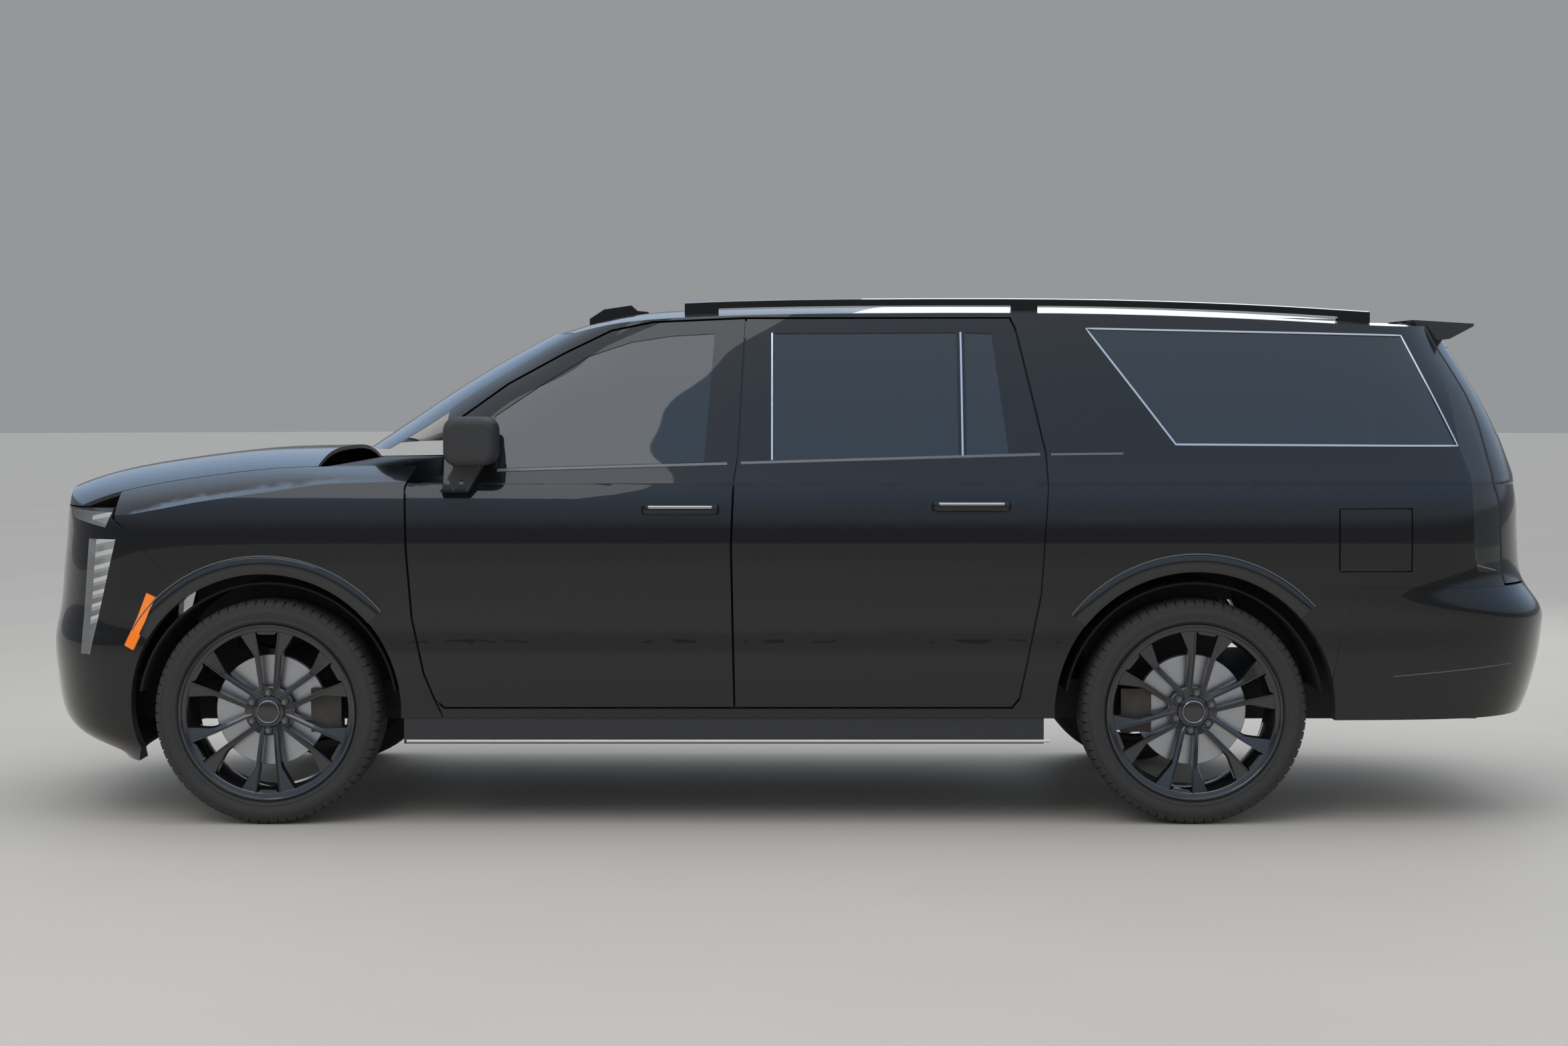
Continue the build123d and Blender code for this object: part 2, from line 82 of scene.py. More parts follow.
class Surface:
    """A material with a Principled shader, its constants set on the shader's own sockets."""

    def __init__(self, name, colour, rough, metal=0.0, **sockets):
        self.material = bpy.data.materials.new(name)
        self.material.use_nodes = True
        self.tree = self.material.node_tree
        self.shader = self.tree.nodes["Principled BSDF"]
        values = {"Base Color": (*colour, 1), "Roughness": rough, "Metallic": metal}
        values.update({k.replace("_", " "): v for k, v in sockets.items()})
        for key, value in values.items():
            self.shader.inputs[key].default_value = value
        self.material.diffuse_color = (*colour, 1)
        materials[name] = self.material

    def node(self, kind, settings=None, values=(), output=0):
        """Any node: its settings first, then the values or links of its sockets."""
        node = self.tree.nodes.new("ShaderNode" + kind)
        for key, value in (settings or {}).items():
            setattr(node, key, value)
        pairs = values.items() if isinstance(values, dict) else enumerate(values)
        for key, value in pairs:
            if isinstance(value, Value):
                self.tree.links.new(value.socket, node.inputs[key])
            else:
                node.inputs[key].default_value = value
        return Value(self, node.outputs[output])

    def place(self, scale=(1, 1, 1)):
        found = self.node("TexCoord", output="Object")
        return self.node("Mapping", {}, {"Vector": found, "Scale": scale})

    def axis(self, name):
        return self.node("SeparateXYZ", {}, [self.place()], output=name)

    def noise(self, scale, detail=3.0, stretch=(1, 1, 1)):
        return self.node("TexNoise", {}, {"Vector": self.place(stretch), "Scale": scale, "Detail": detail})

    def cells(self, scale, stretch=(1, 1, 1)):
        return self.node("TexVoronoi", {}, {"Vector": self.place(stretch), "Scale": scale})

    def drive(self, socket, value, low, high):
        """Runs a shader socket from low to high as a value goes from 0 to 1."""
        spread = self.node("MapRange", {}, {"Value": value, "To Min": low, "To Max": high})
        self.tree.links.new(spread.socket, self.shader.inputs[socket])
        return self

    def tint(self, value, dark, light):
        both = self.node("Mix", {"data_type": "RGBA"}, {"Factor": value}, output=2)
        mix = both.socket.node
        mix.inputs[6].default_value = (*dark, 1)
        mix.inputs[7].default_value = (*light, 1)
        self.tree.links.new(both.socket, self.shader.inputs["Base Color"])
        return self

    def bump(self, height, strength, distance):
        lift = self.node("Bump", {}, {"Height": height, "Strength": strength, "Distance": distance})
        self.tree.links.new(lift.socket, self.shader.inputs["Normal"])
        return self


def paint(name, colour, rough=0.28):
    body = Surface(name, colour, rough, 0.0, Coat_Weight=1.0, Coat_Roughness=0.015, Specular_IOR_Level=0.12)
    flake = body.cells(2600)
    body.drive("Roughness", flake, rough - 0.04, rough + 0.06)
    body.bump(body.noise(55, 1.0), 0.012, 0.002)
    return body


def make_materials(look):
    """Every finish on the vehicle."""
    paint("paint_black", look.paint)
    gloss = Surface("gloss_black", (0.009, 0.009, 0.01), 0.06, 0.0, Coat_Weight=0.6, Coat_Roughness=0.03)
    gloss.drive("Roughness", gloss.noise(9), 0.04, 0.1)
    alloy = Surface("alloy_black", (0.014, 0.014, 0.016), 0.16, 0.0, Coat_Weight=1.0, Coat_Roughness=0.04)
    alloy.drive("Roughness", alloy.noise(14), 0.12, 0.24)
    bright = Surface("bright_trim", (0.66, 0.67, 0.69), 0.14, 1.0)
    bright.drive("Roughness", bright.noise(40, 2, (0.2, 1, 1)), 0.1, 0.22)
    satin = Surface("satin_trim", (0.17, 0.175, 0.185), 0.42, 0.7)
    satin.drive("Roughness", satin.noise(60), 0.36, 0.5)
    glass = Surface("tinted_glass", (0.012, 0.02, 0.03), 0.02, 0.0,
                    Alpha=0.86, Coat_Weight=1.0, Coat_Roughness=0.01)
    glass.drive("Alpha", glass.axis("Z") * 0.4, 0.93, 0.8)
    clear = Surface("clear_lens", (0.85, 0.88, 0.92), 0.04, 0.0,
                    Alpha=0.22, Coat_Weight=1.0, Coat_Roughness=0.02)
    clear.drive("Alpha", clear.noise(12), 0.18, 0.28)
    smoke = Surface("smoked_lens", (0.05, 0.055, 0.06), 0.05, 0.0,
                    Alpha=0.5, Coat_Weight=1.0, Coat_Roughness=0.02)
    smoke.drive("Alpha", smoke.noise(12), 0.45, 0.58)
    amber = Surface("amber_lens", (0.9, 0.2, 0.012), 0.16, 0.0,
                    Coat_Weight=1.0, Emission_Color=(0.9, 0.2, 0.0, 1), Emission_Strength=0.35)
    amber.tint(amber.cells(240), (0.95, 0.24, 0.016), (0.75, 0.14, 0.008))
    rubber = Surface("tyre_rubber", (0.026, 0.026, 0.027), 0.72)
    grit = rubber.noise(90, 5)
    rubber.tint(grit, (0.02, 0.02, 0.021), (0.05, 0.049, 0.047)).drive("Roughness", grit, 0.62, 0.86)
    rubber.bump(rubber.noise(420, 4), 0.25, 0.0006)
    moulded = Surface("moulded_plastic", (0.03, 0.03, 0.032), 0.55)
    grain = moulded.cells(900)
    moulded.bump(grain, 0.35, 0.0005).drive("Roughness", moulded.noise(30), 0.48, 0.66)
    liner = Surface("liner_felt", (0.012, 0.012, 0.012), 0.95)
    liner.bump(liner.noise(700, 6), 0.6, 0.0015)
    iron = Surface("cast_iron", (0.11, 0.105, 0.1), 0.6, 0.75)
    rust = iron.noise(22, 6)
    iron.tint(rust, (0.13, 0.125, 0.12), (0.075, 0.055, 0.042)).bump(iron.noise(160), 0.4, 0.0012)
    steel = Surface("turned_steel", (0.5, 0.5, 0.51), 0.3, 1.0)
    steel.bump(steel.noise(500, 2), 0.1, 0.0003).drive("Roughness", steel.noise(70), 0.24, 0.4)
    chassis = Surface("chassis_coat", (0.02, 0.02, 0.021), 0.5, 0.2)
    chassis.drive("Roughness", chassis.noise(25, 5), 0.4, 0.7)
    leather = Surface("leather", (0.045, 0.038, 0.034), 0.45, 0.0, Sheen_Weight=0.1)
    leather.bump(leather.cells(420), 0.4, 0.0008).drive("Roughness", leather.noise(20), 0.38, 0.55)
    lining = Surface("headlining", (0.16, 0.15, 0.14), 0.9)
    lining.bump(lining.cells(1200), 0.3, 0.0005)


# ---------------------------------------------------------------- forms of the body, metres
def smooth_line(xs, ys):
    """Natural cubic spline through points, as a function that takes arrays."""
    xs, ys = np.asarray(xs, float), np.asarray(ys, float)
    h = np.diff(xs)
    n = len(xs)
    a = np.eye(n)
    b = np.zeros(n)
    for i in range(1, n - 1):
        a[i, i - 1:i + 2] = h[i - 1], 2 * (h[i - 1] + h[i]), h[i]
        b[i] = 3 * ((ys[i + 1] - ys[i]) / h[i] - (ys[i] - ys[i - 1]) / h[i - 1])
    c = np.linalg.solve(a, b)
    slope = np.diff(ys) / h - h * (2 * c[:-1] + c[1:]) / 3
    bend = np.diff(c) / (3 * h)

    def value(x):
        x = np.clip(x, xs[0], xs[-1])
        i = np.clip(np.searchsorted(xs, x) - 1, 0, n - 2)
        d = x - xs[i]
        return ys[i] + d * (slope[i] + d * (c[i] + d * bend[i]))

    return value


class Shell:
    """Walls of the body: a rounded plan outline that changes with height."""

    def __init__(self, rows):
        columns = np.array(rows, float).T
        self.half, self.nose, self.tail, self.power = [
            smooth_line(columns[0] / 1000, c / s) for c, s in zip(columns[1:], (1000, 1000, 1000, 1))]
        self.floor, self.top = columns[0][0] / 1000, columns[0][-1] / 1000

    def covers(self, p):
        return (p[:, 2] >= self.floor - 0.02) & (p[:, 2] <= self.top + 0.001)

    def level(self, p):
        """Below 0 inside, above 0 outside."""
        x, y, z = p.T
        reach = np.where(x < 0, self.nose(z), self.tail(z))
        power = np.where(x < 0, self.power(z), 13)
        return (np.abs(x) / reach) ** power + (np.abs(y) / self.half(z)) ** 3 - 1


class Crown:
    """A lid over the body, such as its roof: a height that runs along the vehicle and falls to its sides."""

    def __init__(self, rows, drop, power, reach, follow=False):
        self.line = smooth_line(*(np.array(rows, float).T / 1000))
        self.drop, self.power, self.reach, self.follow = drop, power, reach, follow

    def covers(self, p):
        return p[:, 2] > 1.1

    def level(self, p):
        x, y, z = p.T
        if self.follow:
            side = np.minimum(np.abs(y), 0.93 * 1.03) / 1.03
            x = x - 2.883 * (1 - (1 - side ** 3) ** (1 / 12))
        return z - self.line(x) + self.drop * (np.abs(y) / self.reach) ** self.power


def slopes(form, p, step=0.0008):
    """Distance from a form and its outward direction at points."""
    level = form.level(p)
    out = np.empty_like(p)
    for k in range(3):
        move = np.zeros(3)
        move[k] = step
        out[:, k] = (form.level(p + move) - form.level(p - move)) / (2 * step)
    size = np.linalg.norm(out, axis=1) + 1e-9
    return level / size, out / size[:, None]


LOWER_ROWS = [(z, 1030 + b, f, r, 12) for z, b, f, r in (
    (205, -60, 2620, 2560), (262, -42, 2716, 2650), (300, -36, 2790, 2720), (367, -28, 2846, 2790),
    (439, -22, 2866, 2826), (531, -11, 2876, 2852), (656, -6, 2883, 2876), (722, -8, 2872, 2883),
    (790, -4, 2858, 2868), (867, -2, 2850, 2812), (950, 0, 2842, 2786), (1045, 0, 2832, 2780),
    (1133, -5, 2826, 2778), (1200, -14, 2815, 2774), (1255, -30, 2790, 2770), (1330, -50, 2740, 2760),
    (1420, -74, 2640, 2750))]
LOWER, NOSE = Shell(LOWER_ROWS[:-2]), Shell(LOWER_ROWS)
CABIN = Shell([
    (1255, 998, 1835, 2768, 20), (1330, 972, 1728, 2750, 15), (1410, 947, 1612, 2722, 12),
    (1500, 919, 1480, 2684, 10), (1600, 887, 1330, 2630, 9), (1700, 851, 1165, 2570, 8),
    (1790, 816, 1000, 2516, 8), (1870, 781, 835, 2478, 8), (1960, 738, 640, 2440, 8)])
ROOF = Crown([(-1300, 1640), (-936, 1817), (-760, 1868), (-582, 1900), (-200, 1919), (400, 1927),
              (1100, 1924), (1700, 1905), (2237, 1873), (2800, 1838)], 0.083, 2.2, 1.04)
HOOD = Crown([(-2950, 1180), (-2813, 1231), (-2748, 1257), (-2632, 1290), (-2440, 1325), (-2119, 1364),
              (-1850, 1374), (-1250, 1380)], 0.134, 3, 1.06, follow=True)


# ---------------------------------------------------------------- mesh helpers
def new_piece(name, bm_or_data, material, body, smooth=None, replaces=()):
    """A finished piece at the origin, riding on a body."""
    mesh = bpy.data.meshes.new(name)
    if isinstance(bm_or_data, bmesh.types.BMesh):
        bm_or_data.to_mesh(mesh)
        bm_or_data.free()
    else:
        mesh.from_pydata(*bm_or_data)
    for m in [material] if isinstance(material, str) else material:
        mesh.materials.append(materials[m])
    if smooth is not None:
        mesh.shade_smooth()
        mesh.set_sharp_from_angle(angle=math.radians(smooth))
    piece = bpy.data.objects.new(name, mesh)
    bpy.context.scene.collection.objects.link(piece)
    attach(piece, body)
    if replaces:
        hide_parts(*replaces)
    return piece


def body_of_node(node):
    return next(b for b, members in frame["record"]["behaviour"]["bodies"].items() if node in members)


def dress(material, *nodes):
    """Gives a CAD node that keeps its shape a finish."""
    for node in nodes:
        mesh = frame["nodes"][node].data
        mesh.materials.clear()
        mesh.materials.append(materials[material])


def refined(node, material, inner="moulded_plastic", forms=(LOWER, CABIN, ROOF), edge=0.07,
            outer_depth=0.004, edge_material=None):
    """A smooth-shaded copy of a CAD panel, whose skin takes the directions of the forms it was cut from."""
    mesh = frame["nodes"][node].data.copy()
    bm = bmesh.new()
    bm.from_mesh(mesh)
    bmesh.ops.remove_doubles(bm, verts=bm.verts, dist=0.00002)
    bmesh.ops.dissolve_degenerate(bm, dist=0.00002, edges=bm.edges)
    for _ in range(5):
        long_edges = [e for e in bm.edges if e.calc_length() > edge]
        if not long_edges:
            break
        bmesh.ops.subdivide_edges(bm, edges=long_edges, cuts=1)
        bmesh.ops.triangulate(bm, faces=[f for f in bm.faces if len(f.verts) > 3])
    mesh = bpy.data.meshes.new(node + "_skin")
    bm.to_mesh(mesh)
    bm.free()
    count = len(mesh.polygons)
    centres, normals = np.empty(count * 3), np.empty(count * 3)
    mesh.polygons.foreach_get("center", centres)
    mesh.polygons.foreach_get("normal", normals)
    centres, normals = centres.reshape(-1, 3), normals.reshape(-1, 3)
    best, pick, depth = np.full(count, 0.94), np.full(count, -1), np.zeros(count)
    for k, form in enumerate(forms):
        far, out = slopes(form, centres)
        match = np.abs((out * normals).sum(1)) - np.abs(far) * 0.5
        near = (np.abs(far) < 0.1) & (match > best) & form.covers(centres)
        best[near], pick[near], depth[near] = match[near], k, far[near]
    corners = np.empty(len(mesh.loops), int)
    mesh.loops.foreach_get("vertex_index", corners)
    points = np.empty(len(mesh.vertices) * 3)
    mesh.vertices.foreach_get("co", points)
    points = points.reshape(-1, 3)
    face_of = np.repeat(np.arange(count), 3)
    custom = normals[face_of].copy()
    for k, form in enumerate(forms):
        mine = pick[face_of] == k
        if mine.any():
            _, out = slopes(form, points[corners[mine]])
            turn = np.sign((out * custom[mine]).sum(1))[:, None]
            custom[mine] = out * turn
    for m in (material, inner):
        mesh.materials.append(materials[m])
    deep = (depth < -outer_depth) & (pick >= 0)
    slots = np.where(deep | (pick < 0), 1, 0)
    if edge_material is None:
        slots = np.where(pick < 0, 0, slots)
    mesh.polygons.foreach_set("material_index", slots.astype(np.int32))
    mesh.polygons.foreach_set("use_smooth", np.ones(count, bool))
    mesh.normals_split_custom_set(custom.tolist())
    piece = bpy.data.objects.new(node + "_skin", mesh)
    bpy.context.scene.collection.objects.link(piece)
    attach(piece, body_of_node(node))
    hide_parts(node)
    return piece


def onto(form, points, way, reach=0.75):
    """Points moved along a direction until they lie on a form, and its outward direction there."""
    points, way = np.atleast_2d(np.asarray(points, float)), np.asarray(way, float)
    low, high = np.zeros(len(points)), np.full(len(points), reach)
    for _ in range(34):
        middle = (low + high) / 2
        inside = form.level(points + middle[:, None] * way) < 0
        high, low = np.where(inside, middle, high), np.where(inside, low, middle)
    found = points + high[:, None] * way
    _, out = slopes(form, found)
    return found, out


def along(path, step=0.02):
    """A polyline with points added so that none are further apart than a step."""
    path = [np.asarray(p, float) for p in path]
    points = [path[0]]
    for a, b in zip(path, path[1:]):
        count = max(1, int(np.linalg.norm(b - a) / step))
        points += [a + (b - a) * k / count for k in range(1, count + 1)]
    return np.array(points)


def tube(centres, outs, shape, closed=False):
    """Mesh data of a cross-section (across, out) carried along a line that lies on a surface."""
    centres = np.asarray(centres)
    ahead, behind = np.roll(centres, -1, 0), np.roll(centres, 1, 0)
    if not closed:
        ahead[-1], behind[0] = centres[-1], centres[0]
    run = ahead - behind
    run /= np.linalg.norm(run, axis=1)[:, None]
    across = np.cross(outs, run)
    across /= np.linalg.norm(across, axis=1)[:, None]
    n, m = len(centres), len(shape)
    verts = [tuple(c + a * u + o * v) for c, a, o in zip(centres, across, outs) for u, v in shape]
    faces = []
    for i in range(n if closed else n - 1):
        j = (i + 1) % n
        for k in range(m):
            q = (k + 1) % m
            faces.append((i * m + k, j * m + k, j * m + q, i * m + q))
    if not closed:
        faces += [tuple(range(m)), tuple((n - 1) * m + k for k in reversed(range(m)))]
    return verts, faces


def bead(width, rise, sunk=0.002):
    """Cross-section of a moulding with softened edges."""
    w = width / 2
    return [(-w, -sunk), (-w, rise * 0.5), (-w * 0.72, rise), (w * 0.72, rise), (w, rise * 0.5), (w, -sunk)]


def closed_mesh(name, parts):
    """One mesh from several vertex and face lists, its normals made to face out."""
    bm = bmesh.new()
    for verts, faces in parts:
        new = [bm.verts.new(v) for v in verts]
        for f in faces:
            bm.faces.new([new[i] for i in f])
    bmesh.ops.remove_doubles(bm, verts=bm.verts, dist=0.00001)
    bmesh.ops.recalc_face_normals(bm, faces=bm.faces)
    return bm


def side_ribbon(form, path, width, rise, side, closed=False, step=0.02):
    """A moulding laid on the flank along a path of (x, z)."""
    sign = SIDES[side]
    line = along(list(path) + ([path[0]] if closed else []), step)
    if closed:
        line = line[:-1]
    start = np.column_stack([line[:, 0], np.full(len(line), 1.3 * sign), line[:, 1]])
    points, out = onto(form, start, (0, -sign, 0))
    return tube(points, out, bead(width, rise), closed)


def turned_part(profile, count=96):
    """Mesh data of a profile of (radius, y) turned about the Y axis."""
    m = len(profile)
    verts, faces = [], []
    for i in range(count):
        c, w = math.cos(2 * math.pi * i / count), math.sin(2 * math.pi * i / count)
        verts += [(r * c, y, r * w) for r, y in profile]
        j = (i + 1) % count
        for k in range(m):
            q = (k + 1) % m
            faces.append((i * m + k, j * m + k, j * m + q, i * m + q))
    return verts, faces


def placed(bm, centre, side):
    """Moves a wheel part made for the left side to its place, mirrored for the right."""
    bmesh.ops.scale(bm, vec=(1, -SIDES[side], 1), verts=bm.verts)
    bmesh.ops.translate(bm, vec=centre, verts=bm.verts)
    bmesh.ops.recalc_face_normals(bm, faces=bm.faces)
    return bm


def radial_tree():
    """Geometry Nodes that repeat a mesh about the Y axis."""
    tree = bpy.data.node_groups.new("radial_repeat", "GeometryNodeTree")
    tree.interface.new_socket("Geometry", in_out="INPUT", socket_type="NodeSocketGeometry")
    for name, kind in (("Copies", "NodeSocketInt"), ("Start Angle", "NodeSocketFloat"),
                       ("Finish", "NodeSocketMaterial")):
        tree.interface.new_socket(name, in_out="INPUT", socket_type=kind)
    tree.interface.new_socket("Geometry", in_out="OUTPUT", socket_type="NodeSocketGeometry")

    def add(kind, **settings):
        node = tree.nodes.new(kind)
        for key, value in settings.items():
            setattr(node, key, value)
        return node

    start, end = add("NodeGroupInput"), add("NodeGroupOutput")
    points, index = add("GeometryNodeMeshLine"), add("GeometryNodeInputIndex")
    points.inputs["Offset"].default_value = (0, 0, 0)
    step, angle = add("ShaderNodeMath", operation="DIVIDE"), add("ShaderNodeMath", operation="MULTIPLY_ADD")
    step.inputs[0].default_value = 2 * math.pi
    turn, copies = add("ShaderNodeCombineXYZ"), add("GeometryNodeInstanceOnPoints")
    real, finish = add("GeometryNodeRealizeInstances"), add("GeometryNodeSetMaterial")
    for a, b in ((start.outputs["Copies"], points.inputs["Count"]), (start.outputs["Copies"], step.inputs[1]),
                 (index.outputs[0], angle.inputs[0]), (step.outputs[0], angle.inputs[1]),
                 (start.outputs["Start Angle"], angle.inputs[2]), (angle.outputs[0], turn.inputs["Y"]),
                 (points.outputs[0], copies.inputs["Points"]),
                 (start.outputs["Geometry"], copies.inputs["Instance"]),
                 (turn.outputs[0], copies.inputs["Rotation"]), (copies.outputs[0], real.inputs[0]),
                 (real.outputs[0], finish.inputs["Geometry"]),
                 (start.outputs["Finish"], finish.inputs["Material"]), (finish.outputs[0], end.inputs[0])):
        tree.links.new(a, b)
    return tree


def repeated(bm, copies, material, start_angle=0.0):
    """Mesh of a part repeated about the Y axis by Geometry Nodes."""
    tree = bpy.data.node_groups.get("radial_repeat") or radial_tree()
    mesh = bpy.data.meshes.new("one")
    bm.to_mesh(mesh)
    bm.free()
    holder = bpy.data.objects.new("holder", mesh)
    bpy.context.scene.collection.objects.link(holder)
    modifier = holder.modifiers.new("repeat", "NODES")
    modifier.node_group = tree
    values = {"Copies": copies, "Start Angle": start_angle, "Finish": materials[material]}
    for item in tree.interface.items_tree:
        if item.in_out == "INPUT" and item.name in values:
            modifier[item.identifier] = values[item.name]
    ready = holder.evaluated_get(bpy.context.evaluated_depsgraph_get())
    result = bpy.data.meshes.new_from_object(ready)
    bpy.data.objects.remove(holder)
    made = bmesh.new()
    made.from_mesh(result)
    return made


# ---------------------------------------------------------------- settings
class VEHICLE_Look(bpy.types.PropertyGroup):
    paint: bpy.props.FloatVectorProperty(
        name="Paint", description="Colour of the painted panels", subtype="COLOR", size=3,
        default=(0.006, 0.006, 0.007))
    floor: bpy.props.FloatVectorProperty(
        name="Floor", description="Colour of the floor", subtype="COLOR", size=3, default=(0.62, 0.60, 0.57))


class VEHICLE_Sizes(bpy.types.PropertyGroup):
    spokes: bpy.props.IntProperty(
        name="Spoke pairs", description="Pairs of spokes in a wheel", default=6, min=3)
    tread_blocks: bpy.props.IntProperty(
        name="Tread blocks", description="Tread blocks round a tyre", default=72, min=20)


def tyre_centre(axle, side):
    low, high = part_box(f"tyre_{axle}_{side}")
    return (low + high) / 2


# ---------------------------------------------------------------- stage
# What glossy surfaces reflect, from straight down (0) over the horizon (0.5) to straight up (1)
SKY = [(0.0, (0.30, 0.27, 0.24)), (0.485, (0.36, 0.33, 0.30)), (0.5, (0.16, 0.16, 0.17)),
       (0.53, (0.13, 0.14, 0.16)), (0.56, (0.42, 0.50, 0.60)), (0.70, (0.42, 0.60, 0.86)),
       (0.86, (0.62, 0.74, 0.92)), (1.0, (0.85, 0.90, 0.97))]
SOFT_LIGHT = (0.62, 0.62, 0.61)
BACKDROP = (0.30, 0.31, 0.32)
FLOOR_RADIUS = 90
# Name, place, size, power and colour
LAMPS = [("key", (-3.5, -7.5, 7.5), 6.0, 170, (1.0, 0.97, 0.93)),
         ("over", (0.5, 0.0, 8.5), 7.0, 170, (0.97, 0.99, 1.0)),
         ("back", (3.0, 8.0, 5.5), 6.0, 110, (1.0, 1.0, 1.0))]
AIM = (0, 0, 0.8)
EYE = (-0.054, -11.010, 1.606)
LOOKING_DOWN = 2.83
FOCAL_LENGTH = 62.9


class VEHICLE_OT_stage(bpy.types.Operator):
    """Lays the floor and sets the light and the camera."""
    bl_idname = "vehicle.stage"
    bl_label = "Stage"

    def execute(self, context):
        look = context.scene.vehicle_look
        scene = context.scene
        floor = Surface("pale_floor", tuple(look.floor), 0.7)
        shade = floor.noise(0.7, 8)
        floor.tint(shade, tuple(c * 0.93 for c in look.floor), tuple(c * 1.04 for c in look.floor))
        bm = bmesh.new()
        bmesh.ops.create_circle(bm, cap_ends=True, segments=96, radius=FLOOR_RADIUS)
        mesh = bpy.data.meshes.new("floor")
        bm.to_mesh(mesh)
        bm.free()
        mesh.materials.append(floor.material)
        ground = bpy.data.objects.new("floor", mesh)
        scene.collection.objects.link(ground)

        world = bpy.data.worlds.new("soft_studio")
        scene.world = world
        world.use_nodes = True
        tree = world.node_tree
        tree.nodes.clear()

        def add(kind):
            return tree.nodes.new("ShaderNode" + kind)

        out = add("OutputWorld")
        seen, lit, soft = add("Background"), add("Background"), add("Background")
        both, kinds, path = add("MixShader"), add("MixShader"), add("LightPath")
        way, split = add("TexCoord"), add("SeparateXYZ")
        ramp = add("ValToRGB")
        while len(ramp.color_ramp.elements) < len(SKY):
            ramp.color_ramp.elements.new(0.5)
        for element, (at, colour) in zip(ramp.color_ramp.elements, SKY):
            element.position, element.color = at, (*colour, 1)
        half = add("MapRange")
        half.inputs["From Min"].default_value = -1
        link = tree.links.new
        link(way.outputs["Generated"], split.inputs[0])
        link(split.outputs["Z"], half.inputs["Value"])
        link(half.outputs[0], ramp.inputs[0])
        link(ramp.outputs[0], lit.inputs["Color"])
        lit.inputs["Strength"].default_value = 1.0
        soft.inputs["Color"].default_value = (*SOFT_LIGHT, 1)
        seen.inputs["Color"].default_value = (*BACKDROP, 1)
        link(path.outputs["Is Glossy Ray"], kinds.inputs[0])
        link(soft.outputs[0], kinds.inputs[1])
        link(lit.outputs[0], kinds.inputs[2])
        link(path.outputs["Is Camera Ray"], both.inputs[0])
        link(kinds.outputs[0], both.inputs[1])
        link(seen.outputs[0], both.inputs[2])
        link(both.outputs[0], out.inputs[0])

        for name, place, size, power, colour in LAMPS:
            lamp = bpy.data.lights.new(name, "AREA")
            lamp.size, lamp.energy, lamp.color = size, power, colour
            holder = bpy.data.objects.new(name, lamp)
            holder.location = place
            aim = Vector(AIM) - Vector(place)
            holder.rotation_euler = aim.to_track_quat("-Z", "Y").to_euler()
            scene.collection.objects.link(holder)

        lens = bpy.data.cameras.new("camera")
        lens.lens, lens.sensor_width = FOCAL_LENGTH, 36
        lens.clip_end = 300
        eye = bpy.data.objects.new("camera", lens)
        eye.location = EYE
        eye.rotation_euler = (math.radians(90 - LOOKING_DOWN), 0, 0)
        scene.collection.objects.link(eye)
        scene.camera = eye
        scene.view_settings.view_transform = "Standard"
        return {"FINISHED"}


# ---------------------------------------------------------------- body and glass
class VEHICLE_OT_panels(bpy.types.Operator):
    """Painted panels of the body."""
    bl_idname = "vehicle.panels"
    bl_label = "Painted panels"

    def execute(self, context):
        painted = ["hood", "roof_panel", "front_fascia", "rear_bumper", "fuel_door", "front_fenders",
                   "liftgate"]
        painted += [f"{kind}_{side}" for side in SIDES for kind in ("body_side", "door_front", "door_rear")]
        for node in painted:
            inner = "headlining" if node == "roof_panel" else "moulded_plastic"
            ahead = node in ("hood", "front_fenders", "front_fascia")
            forms = (NOSE, HOOD) if ahead else (LOWER, CABIN, ROOF)
            refined(node, "paint_black", inner, edge_material=inner, outer_depth=0.03,
                    forms=forms)
        return {"FINISHED"}


class VEHICLE_OT_glass(bpy.types.Operator):
    """Panes of tinted glass."""
    bl_idname = "vehicle.glass"
    bl_label = "Glass"

    def execute(self, context):
        panes = ["windshield", "quarter_glass", "liftgate_glass"]
        panes += [f"glass_{axle}_{side}" for side in SIDES for axle in ("front", "rear")]
        for node in panes:
            refined(node, "tinted_glass", "tinted_glass")
        return {"FINISHED"}


class VEHICLE_OT_wheels(bpy.types.Operator):
    """Alloy wheels with their brakes, nuts and caps."""
    bl_idname = "vehicle.wheels"
    bl_label = "Wheels"

    def execute(self, context):
        count = context.scene.vehicle_sizes.spokes
        for axle in ("front", "rear"):
            for side in SIDES:
                centre = tyre_centre(axle, side)
                body, tail = f"wheel_{axle}_{side}", f"{axle}_{side}"
                turn = math.radians(WHEEL_TURN[axle])
                rim = repeated(spoke_pair(), count, "alloy_black", turn)
                for data in (turned_part(BARREL, 128), turned_part(HUB, 64)):
                    add_data(rim, data)
                new_piece("rim_" + tail + "_alloy", placed(rim, centre, side), "alloy_black", body,
                          28, [f"rim_{axle}_{side}"])
                nuts = repeated(lug_nut(), count, "turned_steel", turn)
                new_piece("lug_nuts_" + tail, placed(nuts, centre, side), "satin_trim", body, 30)
                ring = closed_mesh("ring", [turned_part(CAP_RING, 64)])
                new_piece("cap_ring_" + tail, placed(ring, centre, side), "bright_trim", body, 40)
                disc = closed_mesh("disc", [turned_part(DISC, 96)])
                new_piece("brake_disc_" + tail, placed(disc, centre, side), "turned_steel", body, 30)
        return {"FINISHED"}


def add_data(bm, data):
    verts = [bm.verts.new(v) for v in data[0]]
    for f in data[1]:
        bm.faces.new([verts[i] for i in f])


